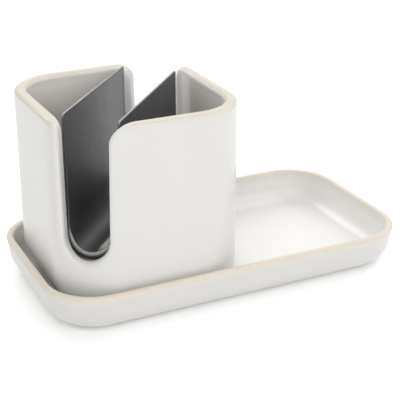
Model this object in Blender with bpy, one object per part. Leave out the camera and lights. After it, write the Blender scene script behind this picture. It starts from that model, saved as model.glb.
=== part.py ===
"""Ceramic sink caddy, in metres, +Z up.

Three separate pieces stack by their own weight:
  soap_tray        a shallow glazed dish with a bare clay rim, standing on the counter
  utensil_holder   a square glazed box with large round corners. A U slot is cut through
                   two opposite corners, and a low saddle runs between them inside.
  sponge_channel   a thin grey U of sheet that lies in the saddle and divides the box
                   into a sponge channel and two corner pockets

The origin is the middle of the tray's underside. The tray's length lies along X. Inside
the holder two more directions are used: u runs along the line from the near slot to the
far slot, which is nearly the holder's diagonal, and n runs across it, to the left.
"""
import math

import bmesh
import bpy

# Tray
TRAY_LENGTH = 0.2400
TRAY_HEIGHT = 0.0255
TRAY_CORNER = 0.0330
TRAY_WALL = 0.0045
TRAY_FLOOR = 0.0052
TRAY_FLARE = 0.0040
TRAY_FOOT_RADIUS = 0.0130
TRAY_INNER_RADIUS = 0.0085
TRAY_RIM_RADIUS = 0.0017

# Holder
HOLDER_SIDE = 0.1170
HOLDER_HEIGHT = 0.1180
HOLDER_CORNER = 0.0330
HOLDER_WALL = 0.0077
HOLDER_FLOOR = 0.0070
HOLDER_FOOT_RADIUS = 0.0205
HOLDER_INNER_RADIUS = 0.0100
HOLDER_RIM_RADIUS = 0.0020
HOLDER_SIDE_GAP = 0.0020
HOLDER_END_GAP = 0.0050

# U slots through the holder's two corners, heights above the holder's foot
SLOT_LINE_TURN = 2.8
SLOT_LINE_ASIDE = 0.0016
SLOT_BOTTOM = 0.0365
SLOT_RADIUS = 0.0136
SLOT_TOP_HALF_WIDTH = 0.0146
SLOT_TOP_RADIUS = 0.0095
SLOT_OUTER_LIP = 0.0030
SLOT_INNER_LIP = 0.0015
SLOT_CUTTER_REACH = 0.0240
SLOT_ABOVE_RIM = 0.00003

# Sponge channel, which is a little wider and higher than the slots
CHANNEL_SHEET = 0.0013
CHANNEL_FOOT_STEP = 0.0005
CHANNEL_TOP_STEP = 0.0020
CHANNEL_FLOOR_STEP = 0.0030
CHANNEL_ABOVE_RIM = 0.0002
CHANNEL_TOP_CORNER = 0.0025
CHANNEL_END_RADIUS = 0.0208
CHANNEL_END_GAP = 0.0021

# Drain openings in the channel's floor
DRAIN_WIDTH = 0.0090
DRAIN_LENGTH = 0.0420
DRAIN_SIDE = 0.0012
DRAIN_END_STRIP = 0.0010
DRAIN_CORNER = 0.0015

# Saddle inside the holder
SADDLE_SHOULDER = 0.0038
SADDLE_SHOULDER_DROP = 0.0050
SADDLE_EDGE_RADIUS = 0.0030
SADDLE_END_GAP = 0.0042
SADDLE_WALL = 0.0078
SADDLE_HOLLOW_RADIUS = 0.0080
SADDLE_SINK = 0.0020

# Clearance between pieces that rest on each other
SEAT_GAP = 0.0003

# How far a cutter runs past the faces that it cuts through
CUT_PAST = 0.0100

# Facets
SHARP_ANGLE = 40
SMALLEST_CORNER = 0.0005
CORNER_STEPS = 14
FOOT_STEPS = 7
FILLET_STEPS = 5
RIM_STEPS = 3
U_STEPS = 20
LIP_STEPS = 4
ROUND_STEPS = 5

# Sizes that follow from those above: the tray takes the holder with a gap all round, the
# channel follows the slots, and the saddle follows the channel
TRAY_WIDTH = HOLDER_SIDE + 2 * (TRAY_WALL + HOLDER_SIDE_GAP)
CHANNEL_RADIUS = SLOT_RADIUS + CHANNEL_FOOT_STEP
CHANNEL_TOP_HALF_WIDTH = SLOT_TOP_HALF_WIDTH + CHANNEL_TOP_STEP
CHANNEL_REST = SLOT_BOTTOM + CHANNEL_FLOOR_STEP
SADDLE_GROOVE = CHANNEL_RADIUS + CHANNEL_SHEET + SEAT_GAP
SADDLE_HALF_WIDTH = SADDLE_GROOVE + SADDLE_SHOULDER

# Places that follow from the sizes
HOLDER_X = -TRAY_LENGTH / 2 + TRAY_WALL + HOLDER_END_GAP + HOLDER_SIDE / 2
HOLDER_BASE = TRAY_FLOOR + SEAT_GAP
HOLDER_TOP = HOLDER_BASE + HOLDER_HEIGHT
CORNER_CENTRE = HOLDER_SIDE / 2 - HOLDER_CORNER
INNER_CORNER = HOLDER_CORNER - HOLDER_WALL
LINE_COS = math.cos(math.radians(45 + SLOT_LINE_TURN))
LINE_SIN = math.sin(math.radians(45 + SLOT_LINE_TURN))


def clear_scene():
    """Remove every object of the start-up scene."""
    for item in list(bpy.data.objects):
        bpy.data.objects.remove(item, do_unlink=True)


def make_material(name, colour, roughness, metallic=0.0):
    """One plain Principled material."""
    material = bpy.data.materials.new(name)
    material.use_nodes = True
    shader = material.node_tree.nodes["Principled BSDF"]
    shader.inputs["Base Color"].default_value = (*colour, 1.0)
    shader.inputs["Roughness"].default_value = roughness
    shader.inputs["Metallic"].default_value = metallic
    return material


def make_object(name, points, faces, material=None):
    """A mesh object from the points and faces of one closed solid, its faces outward."""
    mesh = bpy.data.meshes.new(name)
    mesh.from_pydata(points, [], faces)
    shape = bmesh.new()
    shape.from_mesh(mesh)
    bmesh.ops.recalc_face_normals(shape, faces=shape.faces)
    if shape.calc_volume(signed=True) < 0:
        bmesh.ops.reverse_faces(shape, faces=shape.faces)
    shape.to_mesh(mesh)
    shape.free()
    item = bpy.data.objects.new(name, mesh)
    bpy.context.scene.collection.objects.link(item)
    if material:
        mesh.materials.append(material)
        mesh.shade_smooth()
        mesh.set_sharp_from_angle(angle=math.radians(SHARP_ANGLE))
    return item


def make_cutter(name, points, faces):
    """A helper solid that only shapes another piece."""
    item = make_object(name, points, faces)
    item.hide_render = True
    item.display_type = "WIRE"
    return item


def combine(item, other, operation):
    """Join or cut one solid with another by an exact Boolean."""
    modifier = item.modifiers.new(f"{operation.title()} {other.name}", "BOOLEAN")
    modifier.operation = operation
    modifier.solver = "EXACT"
    modifier.object = other


def arc(start, end, steps):
    """Angles from start to end in degrees, in equal steps, both ends kept."""
    return [math.radians(start + (end - start) * i / steps) for i in range(steps + 1)]


def rounded_rectangle(length, width, radius, z):
    """Closed outline of a rectangle with round corners, counter-clockwise at height z."""
    radius = max(radius, SMALLEST_CORNER)
    outline = []
    for number, (side_x, side_y) in enumerate([(1, 1), (-1, 1), (-1, -1), (1, -1)]):
        for angle in arc(90 * number, 90 * number + 90, CORNER_STEPS):
            x = side_x * (length / 2 - radius) + radius * math.cos(angle)
            y = side_y * (width / 2 - radius) + radius * math.sin(angle)
            outline.append((x, y, z))
    return outline


def loft(rings, mirrored=False):
    """Points and faces of a closed solid through equal rings, with both ends capped.

    A mirrored ring pairs its first point with its last, and so on, and isn't flat: its
    ends are closed by level strips from each point to its pair.
    """
    count = len(rings[0])
    points = [point for ring in rings for point in ring]
    faces = []
    for row in range(len(rings) - 1):
        for i in range(count):
            j = (i + 1) % count
            low, high = row * count, (row + 1) * count
            faces.append((low + i, low + j, high + j, high + i))
    for start in (0, (len(rings) - 1) * count):
        if not mirrored:
            faces.append(tuple(range(start, start + count)))
            continue
        for i in range(count // 2):
            strip = (i, i + 1, count - 2 - i, count - 1 - i)
            faces.append(tuple(dict.fromkeys(start + k for k in strip)))
    return points, faces


def dish_profile(height, wall, floor, flare, foot_radius, inner_radius, rim_radius):
    """Inset and height pairs of a dish's wall, from its foot over its rim to its floor."""
    widest = height - rim_radius

    def lean(z):
        return flare * (1 - min(z, widest) / widest)

    rows = []
    for angle in arc(0, 90, FOOT_STEPS):
        z = foot_radius * (1 - math.cos(angle))
        rows.append((foot_radius * (1 - math.sin(angle)) + lean(z), z))
    for angle in arc(0, 90, RIM_STEPS):
        z = widest + rim_radius * math.sin(angle)
        rows.append((rim_radius * (1 - math.cos(angle)), z))
    for angle in arc(90, 0, RIM_STEPS):
        z = widest + rim_radius * math.sin(angle)
        rows.append((wall - rim_radius * (1 - math.cos(angle)), z))
    for angle in arc(90, 0, FILLET_STEPS):
        z = floor + inner_radius * (1 - math.cos(angle))
        rows.append((wall + inner_radius * (1 - math.sin(angle)) + lean(z), z))
    return rows


def make_dish(name, length, width, corner, rows, centre_x, base, material):
    """A dish or box as one closed solid: its wall profile carried round its outline."""
    rings = []
    for inset, z in rows:
        ring = rounded_rectangle(length - 2 * inset, width - 2 * inset, corner - inset, z)
        rings.append(ring)
    item = make_object(name, *loft(rings), material)
    item.location = (centre_x, 0, base)
    return item


def corner_reach(end, n, radius):
    """Distance along the slot line to the holder's face with this corner radius.

    It is measured at a distance n across the line, toward the far or near slot, end = 1 or
    -1. The face is an arc round the corner's centre, with a flat face of the box each side.
    """
    across = end * (n + SLOT_LINE_ASIDE)
    centre_u = CORNER_CENTRE * (LINE_COS + LINE_SIN)
    centre_n = CORNER_CENTRE * (LINE_COS - LINE_SIN)
    aside = across - centre_n
    if abs(aside) < radius:
        along = math.sqrt(radius ** 2 - aside ** 2)
        on_arc_x = along * LINE_COS - aside * LINE_SIN
        on_arc_y = along * LINE_SIN + aside * LINE_COS
        if on_arc_x >= 0 and on_arc_y >= 0:
            return centre_u + along
    if aside > 0:
        return (CORNER_CENTRE + radius - across * LINE_COS) / LINE_SIN
    return (CORNER_CENTRE + radius + across * LINE_SIN) / LINE_COS


def from_slot_line(u, n, z):
    """Point from the directions along and across the line from slot to slot."""
    across = n + SLOT_LINE_ASIDE
    return (u * LINE_COS - across * LINE_SIN, u * LINE_SIN + across * LINE_COS, z)


def u_profile(radius, top_half_width, bottom, top):
    """Half of a U, from the middle of its bottom up to its top: points and normals.

    The bottom is an arc, and the side leans out in a straight line to the top's half width.
    """
    centre = bottom + radius
    lean = math.atan2(top_half_width - radius, top - centre)
    half = []
    for angle in arc(0, 90 - math.degrees(lean), U_STEPS // 2):
        normal = (math.sin(angle), -math.cos(angle))
        half.append((radius * normal[0], centre + radius * normal[1], normal))
    half.append((top_half_width, top, (math.cos(lean), -math.sin(lean))))
    return half


def slot_outline():
    """Half outline of a slot, from its bottom up to the rim, where it turns outward."""
    start = HOLDER_TOP - SLOT_TOP_RADIUS
    half = u_profile(SLOT_RADIUS, SLOT_TOP_HALF_WIDTH, HOLDER_BASE + SLOT_BOTTOM, start)
    for angle in arc(0, 90, ROUND_STEPS)[1:]:
        normal = (math.cos(angle), -math.sin(angle))
        n = SLOT_TOP_HALF_WIDTH + SLOT_TOP_RADIUS * (1 - normal[0])
        half.append((n, start - SLOT_TOP_RADIUS * normal[1] + SLOT_ABOVE_RIM, normal))
    return half


def slot_stations():
    """Steps through the wall: the face each is measured from, its shift and its widening."""
    stations = [(HOLDER_CORNER, SLOT_CUTTER_REACH, SLOT_OUTER_LIP)]
    for angle in arc(0, 90, LIP_STEPS):
        shift = -SLOT_OUTER_LIP * (1 - math.cos(angle))
        stations.append((HOLDER_CORNER, shift, SLOT_OUTER_LIP * (1 - math.sin(angle))))
    for angle in arc(90, 0, LIP_STEPS):
        shift = SLOT_INNER_LIP * (1 - math.cos(angle))
        stations.append((INNER_CORNER, shift, SLOT_INNER_LIP * (1 - math.sin(angle))))
    stations.append((INNER_CORNER, -SLOT_CUTTER_REACH / 4, SLOT_INNER_LIP))
    return stations


def make_slot_cutter(name, end):
    """Solid that cuts one U slot, with round lips, through the corner at end = -1 or 1."""
    half = slot_outline()
    top_n, top_z, _ = half[-1]
    half.append((top_n, top_z + CUT_PAST, (1.0, 0.0)))
    outline = [(-n, z, (-a, b)) for n, z, (a, b) in reversed(half[1:])] + half
    rings = []
    for face_radius, shift, widening in slot_stations():
        ring = []
        for n, z, normal in outline:
            across = n + widening * normal[0]
            height = z + widening * normal[1]
            u = corner_reach(end, across, face_radius) + shift
            ring.append(from_slot_line(end * u, across, height))
        rings.append(ring)
    cutter = make_cutter(name, *loft(rings, mirrored=True))
    cutter.location = (HOLDER_X, 0, 0)
    return cutter


def make_ridge(name, heights, foot, end_radius):
    """Solid along the slot line: a row of heights across it, a flat foot, round ends."""
    points = []
    for end in (-1, 1):
        for n, z in heights:
            u = end * corner_reach(end, n, end_radius)
            points.append(from_slot_line(u, n, z))
            points.append(from_slot_line(u, n, foot))
    count = 2 * len(heights)
    faces = []
    for i in range(0, count - 2, 2):
        faces.append((i, i + 2, i + 2 + count, i + count))
        faces.append((i + 1, i + 1 + count, i + 3 + count, i + 3))
        faces.append((i, i + 1, i + 3, i + 2))
        faces.append((i + count, i + 2 + count, i + 3 + count, i + 1 + count))
    for i in (0, count - 2):
        faces.append((i, i + count, i + 1 + count, i + 1))
    ridge = make_cutter(name, points, faces)
    ridge.location = (HOLDER_X, 0, 0)
    return ridge


def mirror_heights(half):
    """Whole row of heights from its right half, which starts on the middle line."""
    return [(-n, z) for n, z in reversed(half[1:])] + half


def make_saddle(name):
    """Ridge on the holder's floor with a round groove that the channel lies in."""
    centre = HOLDER_BASE + CHANNEL_REST + CHANNEL_RADIUS
    shoulder = centre - SADDLE_SHOULDER_DROP
    edge = SADDLE_EDGE_RADIUS
    half = []
    for angle in arc(0, math.degrees(math.acos(SADDLE_SHOULDER_DROP / SADDLE_GROOVE)), U_STEPS // 2):
        half.append((SADDLE_GROOVE * math.sin(angle), centre - SADDLE_GROOVE * math.cos(angle)))
    for angle in arc(90, 0, ROUND_STEPS):
        n = SADDLE_HALF_WIDTH - edge * (1 - math.cos(angle))
        half.append((n, shoulder - edge * (1 - math.sin(angle))))
    foot = HOLDER_BASE + HOLDER_FLOOR - SADDLE_SINK
    return make_ridge(name, mirror_heights(half), foot, INNER_CORNER - SADDLE_END_GAP)


def make_saddle_hollow(name):
    """Hollow under the saddle, open below, that leaves it an even wall."""
    roof = HOLDER_BASE + CHANNEL_REST - CHANNEL_SHEET - SADDLE_WALL
    half_width = SADDLE_HALF_WIDTH - SADDLE_WALL
    radius = SADDLE_HOLLOW_RADIUS
    half = [(0.0, roof)]
    for angle in arc(90, 0, ROUND_STEPS):
        n = half_width - radius * (1 - math.cos(angle))
        half.append((n, roof - radius * (1 - math.sin(angle))))
    end_radius = INNER_CORNER - SADDLE_END_GAP - SADDLE_WALL
    return make_ridge(name, mirror_heights(half), HOLDER_BASE - CUT_PAST, end_radius)


def make_tray(material):
    """The dish that everything stands in."""
    rows = dish_profile(TRAY_HEIGHT, TRAY_WALL, TRAY_FLOOR, TRAY_FLARE,
                        TRAY_FOOT_RADIUS, TRAY_INNER_RADIUS, TRAY_RIM_RADIUS)
    return make_dish("soap_tray", TRAY_LENGTH, TRAY_WIDTH, TRAY_CORNER, rows, 0, 0, material)


def make_holder(material):
    """The box with its saddle and its two U slots."""
    rows = dish_profile(HOLDER_HEIGHT, HOLDER_WALL, HOLDER_FLOOR, 0.0,
                        HOLDER_FOOT_RADIUS, HOLDER_INNER_RADIUS, HOLDER_RIM_RADIUS)
    holder = make_dish("utensil_holder", HOLDER_SIDE, HOLDER_SIDE, HOLDER_CORNER, rows,
                       HOLDER_X, HOLDER_BASE, material)
    combine(holder, make_saddle("saddle_form"), "UNION")
    combine(holder, make_saddle_hollow("saddle_hollow_form"), "DIFFERENCE")
    combine(holder, make_slot_cutter("near_slot_form", -1), "DIFFERENCE")
    combine(holder, make_slot_cutter("far_slot_form", 1), "DIFFERENCE")
    return holder


def channel_section():
    """The U of the channel, from its left top to its right top: inner and outer points."""
    bottom = HOLDER_BASE + CHANNEL_REST
    top = HOLDER_TOP + CHANNEL_ABOVE_RIM
    half = u_profile(CHANNEL_RADIUS, CHANNEL_TOP_HALF_WIDTH, bottom, top - CHANNEL_TOP_CORNER)
    n, z, normal = half[-1]
    for step in range(1, ROUND_STEPS + 1):
        rise = CHANNEL_TOP_CORNER * math.sin(math.pi / 2 * step / ROUND_STEPS)
        half.append((n - rise * normal[1], z + rise, normal))
    inner = [(n, z) for n, z, normal in half]
    outer = [(n + CHANNEL_SHEET * a, z + CHANNEL_SHEET * b) for n, z, (a, b) in half]
    outer[-1] = (outer[-1][0], inner[-1][1])
    whole_inner = [(-n, z) for n, z in reversed(inner[1:])] + inner
    whole_outer = [(-n, z) for n, z in reversed(outer[1:])] + outer
    return whole_inner, whole_outer


def channel_reach(n, z):
    """Half length of the channel at a point of its section: its ends and top corners are round."""
    reach = corner_reach(1, 0.0, INNER_CORNER) - CHANNEL_END_GAP
    reach -= CHANNEL_END_RADIUS - math.sqrt(CHANNEL_END_RADIUS ** 2 - n ** 2)
    rise = z - (HOLDER_TOP + CHANNEL_ABOVE_RIM - CHANNEL_TOP_CORNER)
    if rise > 0:
        rise = min(rise, CHANNEL_TOP_CORNER)
        reach -= CHANNEL_TOP_CORNER - math.sqrt(CHANNEL_TOP_CORNER ** 2 - rise ** 2)
    return reach


def make_drain_cutter(name, end):
    """Upright block with round corners, beside the channel's middle line, at end = -1 or 1."""
    middle_n = DRAIN_SIDE + DRAIN_WIDTH / 2
    bottom = HOLDER_BASE + CHANNEL_REST
    middle_u = channel_reach(middle_n, bottom) - DRAIN_END_STRIP - DRAIN_LENGTH / 2
    rings = []
    for z in (bottom - CUT_PAST, bottom + CUT_PAST):
        outline = rounded_rectangle(DRAIN_LENGTH, DRAIN_WIDTH, DRAIN_CORNER, z)
        rings.append([from_slot_line(end * (middle_u + x), end * (middle_n + y), z)
                      for x, y, z in outline])
    cutter = make_cutter(name, *loft(rings))
    cutter.location = (HOLDER_X, 0, 0)
    return cutter


def make_channel(material):
    """The thin U of sheet, with a drain opening beside its middle line at each end."""
    inner, outer = channel_section()
    count = len(inner)
    points = []
    for side in (inner, outer):
        for end in (-1, 1):
            for n, z in side:
                points.append(from_slot_line(end * channel_reach(n, z), n, z))
    near_in, far_in, near_out, far_out = (count * k for k in range(4))
    faces = []
    for i in range(count - 1):
        faces.append((near_in + i, far_in + i, far_in + i + 1, near_in + i + 1))
        faces.append((near_out + i, near_out + i + 1, far_out + i + 1, far_out + i))
        faces.append((near_in + i, near_in + i + 1, near_out + i + 1, near_out + i))
        faces.append((far_in + i, far_out + i, far_out + i + 1, far_in + i + 1))
    last = count - 1
    faces.append((near_in, near_out, far_out, far_in))
    faces.append((near_in + last, far_in + last, far_out + last, near_out + last))
    channel = make_object("sponge_channel", points, faces, material)
    channel.location = (HOLDER_X, 0, 0)
    combine(channel, make_drain_cutter("near_drain_form", -1), "DIFFERENCE")
    combine(channel, make_drain_cutter("far_drain_form", 1), "DIFFERENCE")
    return channel


def main():
    """Build the three pieces."""
    clear_scene()
    tray = make_tray(make_material("tray_glaze", (0.84, 0.83, 0.79), 0.18))
    holder = make_holder(make_material("holder_glaze", (0.84, 0.83, 0.79), 0.18))
    channel = make_channel(make_material("channel_sheet", (0.11, 0.115, 0.12), 0.45, 0.3))
    for item in (tray, holder, channel):
        print(item.name, "made")


main()
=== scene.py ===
# %% [markdown]
# # A ceramic sink caddy in its finished looks
# The caddy has three pieces: a shallow oblong tray, a square holder with a U slot cut through
# two opposite corners, and a thin grey U of sheet metal that lies inside the holder.
# The CAD solids give the main sizes and every movement. This lesson lays a finer surface over
# each of them, with the round lips, soft fillets and bare clay rims of slip-cast stoneware.

import math

import bmesh
import bpy
import numpy as np
from mathutils import Matrix, Vector


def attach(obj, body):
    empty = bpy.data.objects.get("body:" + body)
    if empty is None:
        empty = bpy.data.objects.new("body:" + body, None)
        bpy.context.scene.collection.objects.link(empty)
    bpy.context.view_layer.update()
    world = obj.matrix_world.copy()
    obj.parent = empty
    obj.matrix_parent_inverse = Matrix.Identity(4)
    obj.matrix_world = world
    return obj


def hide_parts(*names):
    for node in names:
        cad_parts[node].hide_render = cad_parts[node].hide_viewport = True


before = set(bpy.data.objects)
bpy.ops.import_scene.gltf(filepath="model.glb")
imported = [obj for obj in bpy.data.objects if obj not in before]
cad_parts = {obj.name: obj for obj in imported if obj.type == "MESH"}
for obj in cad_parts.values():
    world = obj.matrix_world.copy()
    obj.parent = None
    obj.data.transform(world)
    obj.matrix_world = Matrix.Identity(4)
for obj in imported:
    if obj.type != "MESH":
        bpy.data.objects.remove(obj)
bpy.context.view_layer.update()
print("frame loaded:", ", ".join(sorted(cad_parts)))

# %% [markdown]
# ## Sizes
# All the numbers are in metres. Most of them repeat the driving sizes of the CAD source, so
# that the fine surfaces lie on its solids. The lips and turns, the tight side of the holder's
# foot and the channel's ends follow the photograph more closely than the plainer solids do.
# Heights of the holder and the channel are counted from the holder's foot, and places in plan
# from the holder's middle.

# %% Sizes of the tray
TRAY_LENGTH = 0.2400
TRAY_HEIGHT = 0.0255
TRAY_CORNER = 0.0330
TRAY_WALL = 0.0045
TRAY_FLOOR = 0.0052
TRAY_FLARE = 0.0040
TRAY_FOOT_RADIUS = 0.0130
TRAY_INNER_RADIUS = 0.0085
TRAY_RIM_RADIUS = 0.0017

# %% Sizes of the holder
HOLDER_SIDE = 0.1170
HOLDER_HEIGHT = 0.1180
HOLDER_CORNER = 0.0330
HOLDER_WALL = 0.0077
HOLDER_FLOOR = 0.0070
HOLDER_FOOT_RADIUS = 0.0205
HOLDER_TIGHT_FOOT = 0.0108
HOLDER_INNER_RADIUS = 0.0100
HOLDER_RIM_RADIUS = 0.0030
HOLDER_SIDE_GAP = 0.0020
HOLDER_END_GAP = 0.0050
HOLDER_SEAT_GAP = 0.0003
TRAY_WIDTH = HOLDER_SIDE + 2 * (TRAY_WALL + HOLDER_SIDE_GAP)
HOLDER_X = -TRAY_LENGTH / 2 + TRAY_WALL + HOLDER_END_GAP + HOLDER_SIDE / 2
HOLDER_BASE = TRAY_FLOOR + HOLDER_SEAT_GAP
print("tray is", round(1000 * TRAY_LENGTH), "by", round(1000 * TRAY_WIDTH), "mm")

# %% Sizes of the slots, the channel and the saddle
SLOT_BOTTOM = 0.0365
SLOT_RADIUS = 0.01355
SLOT_TOP_HALF_WIDTH = 0.01455
SLOT_ASIDE = 0.00065
SLOT_TIGHT_TURN = 0.0065
SLOT_WIDE_TURN = 0.0108
SLOT_OUTER_LIP = 0.0038
SLOT_INNER_LIP = 0.0020
SLOT_BOTTOM_INNER_LIP = 0.0036
LINE_ANGLE = math.radians(47.8)
LINE_ASIDE = 0.0016
CHANNEL_SHEET = 0.0013
CHANNEL_RADIUS = 0.0141
CHANNEL_TOP_HALF_WIDTH = 0.0166
CHANNEL_ABOVE_SLOT = 0.0030
CHANNEL_ABOVE_RIM = 0.0002
CHANNEL_REST = SLOT_BOTTOM + CHANNEL_ABOVE_SLOT
CHANNEL_TOP = HOLDER_HEIGHT + CHANNEL_ABOVE_RIM
CHANNEL_TOP_CORNER = 0.0012
CHANNEL_END_RADIUS = 0.0208
GROOVE_GAP = 0.0003
SHOULDER_WIDTH = 0.0038
SADDLE_GROOVE = CHANNEL_RADIUS + CHANNEL_SHEET + GROOVE_GAP
SADDLE_HALF_WIDTH = SADDLE_GROOVE + SHOULDER_WIDTH
SADDLE_EDGE = 0.0030
print("caddy is", round(1000 * (HOLDER_BASE + CHANNEL_TOP), 1), "mm high")

# %% [markdown]
# ## From arrays to a mesh
# Every piece here is a grid of points worked out with numpy. Neighbouring rows and columns are
# joined by four-sided faces. A closed grid joins its last column to its first one, which gives
# a tube, and rows that shrink to a point or a line close the tube's ends.
# Typing the faces by hand or modelling in the viewport would also work, but a formula can be
# made finer by changing one number.

# %% Helpers that make a mesh


def grid_faces(rows, columns, closed):
    """Faces of a grid: each point with its right, upper right and upper neighbours."""
    index = np.arange(rows * columns).reshape(rows, columns)
    if closed:
        index = np.concatenate([index, index[:, :1]], axis=1)
    corners = [index[:-1, :-1], index[:-1, 1:], index[1:, 1:], index[1:, :-1]]
    return np.stack(corners, axis=-1).reshape(-1, 4)


def surface(name, points, faces, layers=None):
    """An object from points and four-sided faces, with named numbers for each point.

    Points that lie on each other are merged, which closes poles and seams.
    """
    points = points.reshape(-1, 3)
    mesh = bpy.data.meshes.new(name)
    mesh.vertices.add(len(points))
    mesh.vertices.foreach_set("co", points.astype(np.float32).ravel())
    mesh.loops.add(faces.size)
    mesh.loops.foreach_set("vertex_index", faces.astype(np.int32).ravel())
    mesh.polygons.add(len(faces))
    mesh.polygons.foreach_set("loop_start", np.arange(0, faces.size, 4, dtype=np.int32))
    mesh.update(calc_edges=True)
    for layer_name, values in (layers or {}).items():
        layer = mesh.attributes.new(layer_name, "FLOAT", "POINT")
        layer.data.foreach_set("value", values.astype(np.float32).ravel())
    shape = bmesh.new()
    shape.from_mesh(mesh)
    bmesh.ops.remove_doubles(shape, verts=shape.verts, dist=1e-6)
    shape.to_mesh(mesh)
    shape.free()
    mesh.validate()
    mesh.shade_smooth()
    item = bpy.data.objects.new(name, mesh)
    bpy.context.scene.collection.objects.link(item)
    print(name, "has", len(mesh.vertices), "points and", len(mesh.polygons), "faces")
    return item


# %% [markdown]
# ## The outline of a rounded rectangle
# Seen from above, the tray and the holder are rectangles with round corners. One function
# gives the point at a distance s along that outline. The centre of the nearest corner stays
# put while the direction turns, and then slides along a straight side to the next corner.
# Moving the outline inward by an inset only shortens the arm from that centre, so the same s
# names the same place on the outer face, on the inner face and anywhere between them.

# %% Points along a rounded rectangle


def outline(s, inset, length, width, corner):
    """Corner centre at s plus (corner radius - inset) times the outward direction at s."""
    far_x, far_y = length / 2 - corner, width / 2 - corner
    turn = math.pi / 2 * corner
    breaks = np.cumsum([0, turn, 2 * far_x, turn, 2 * far_y, turn, 2 * far_x, turn, 2 * far_y])
    s = np.asarray(s) % breaks[-1]
    angle = np.interp(s, breaks, math.pi / 2 * np.array([0, 1, 1, 2, 2, 3, 3, 4, 4]))
    x = far_x * np.interp(s, breaks, [1, 1, -1, -1, -1, -1, 1, 1, 1])
    y = far_y * np.interp(s, breaks, [1, 1, 1, 1, -1, -1, -1, -1, 1])
    arm = corner - inset
    return np.stack([x + arm * np.cos(angle), y + arm * np.sin(angle)], axis=-1)


def outline_length(length, width, corner):
    """Four quarter turns and the straight sides between them."""
    return 2 * math.pi * corner + 2 * (length - 2 * corner) + 2 * (width - 2 * corner)


def at_height(plan, z):
    """Points of a plan with a height for each, or one height for all."""
    return np.concatenate([plan, np.broadcast_to(z, plan.shape[:-1])[..., None]], axis=-1)


# %% [markdown]
# ## The tray
# The tray is slip-cast: its wall leans out from a round foot, ends in a narrow round rim and
# comes down to a flat floor through a soft fillet. Its section is written as rows of inset and
# height, from the middle of the underside, over the rim, to the middle of the floor. Two named
# numbers go with each point for the material: its distance from the rim, and whether it is inside,
# where the glaze gets a lighter white as painted light.
# Each row is then carried round the outline. Seven hundred columns keep the corners round in
# a close view. A wave of less than a tenth of a millimetre keeps the wall from looking turned.

# %% The tray's section


def quarter(start, end, steps):
    """Angles from start to end, in degrees, as radians."""
    return np.radians(np.linspace(start, end, steps + 1))


def tray_section():
    """Inset, height and way past the rim's middle, row by row.

    The foot and the fillet are quarter circles, and the lean moves them inward in
    proportion to how far they lie below the rim.
    """
    widest = TRAY_HEIGHT - TRAY_RIM_RADIUS
    foot, rim, fillet = quarter(0, 90, 14), quarter(0, 90, 7), quarter(90, 0, 12)
    inset = [TRAY_FOOT_RADIUS * (1 - np.sin(foot)), np.zeros(5),
             TRAY_RIM_RADIUS * (1 - np.cos(rim)),
             TRAY_WALL - TRAY_RIM_RADIUS * (1 - np.cos(rim[::-1])),
             np.full(4, TRAY_WALL), TRAY_WALL + TRAY_INNER_RADIUS * (1 - np.sin(fillet))]
    height = [TRAY_FOOT_RADIUS * (1 - np.cos(foot)),
              np.linspace(TRAY_FOOT_RADIUS, widest, 7)[1:-1],
              widest + TRAY_RIM_RADIUS * np.sin(rim), widest + TRAY_RIM_RADIUS * np.sin(rim[::-1]),
              np.linspace(widest, TRAY_FLOOR + TRAY_INNER_RADIUS, 6)[1:-1],
              TRAY_FLOOR + TRAY_INNER_RADIUS * (1 - np.cos(fillet))]
    inset, height = np.concatenate(inset), np.concatenate(height)
    inset = inset + TRAY_FLARE * (1 - np.minimum(height, widest) / widest)
    steps = np.hypot(np.diff(inset), np.diff(height))
    path = np.concatenate([[0], np.cumsum(steps)])
    middle = path[np.argmin(np.abs(inset - TRAY_WALL / 2) + (height < widest))]
    return inset, height, path - middle


tray_inset, tray_height, tray_past_rim = tray_section()
print("tray section has", len(tray_inset), "rows")

# %% The tray's surface
TRAY_COLUMNS = 700
TRAY_WAVE = 0.00008
FAR_FROM_RIM = 0.05
# Over this distance past the rim's middle the glaze turns to its lighter inside white, as painted
# light.
PAINTED_LIGHT_INSIDE_FROM = 0.010


def soft_wave(points, depth):
    """Moves points toward the middle line by up to depth.

    Three sine waves in x, y and z, about a decimetre long, are added up.
    """
    x, y, z = points[..., 0], points[..., 1], points[..., 2]
    wave = (np.sin(47 * x + 31 * z + 0.6) + np.sin(53 * y - 38 * z + 2.1)
            + np.sin(67 * (x + y) + 1.3))
    moved = points.copy()
    reach = np.hypot(x, y) + 1e-9
    shrink = 1 - depth * (0.5 + wave / 6) * np.minimum(reach / 0.05, 1) / reach
    moved[..., :2] *= shrink[..., None]
    return moved


def make_tray_surface():
    """The section carried round the outline, closed at the middle of both flat faces."""
    loop = outline_length(TRAY_LENGTH, TRAY_WIDTH, TRAY_CORNER)
    s = np.linspace(0, loop, TRAY_COLUMNS, endpoint=False)
    rings = [at_height(outline(s, inset, TRAY_LENGTH, TRAY_WIDTH, TRAY_CORNER), z)
             for inset, z in zip(tray_inset, tray_height)]
    under = [rings[0] * (f, f, 1) for f in np.linspace(0, 1, 9)[:-1]]
    floor = [rings[-1] * (f, f, 1) for f in np.linspace(1, 0, 17)[1:]]
    points = soft_wave(np.array(under + rings + floor), TRAY_WAVE)
    past_rim = np.concatenate([np.full(len(under), -FAR_FROM_RIM), tray_past_rim,
                               np.full(len(floor), FAR_FROM_RIM)])
    past_rim = np.repeat(past_rim[:, None], TRAY_COLUMNS, axis=1)
    # inside: painted light, the tray's glaze painted lighter inside than outside.
    layers = {"from_rim": np.abs(past_rim), "inside": np.clip(past_rim / PAINTED_LIGHT_INSIDE_FROM, 0, 1)}
    return surface("tray_body", points, grid_faces(len(points), TRAY_COLUMNS, True), layers)


tray = make_tray_surface()

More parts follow.
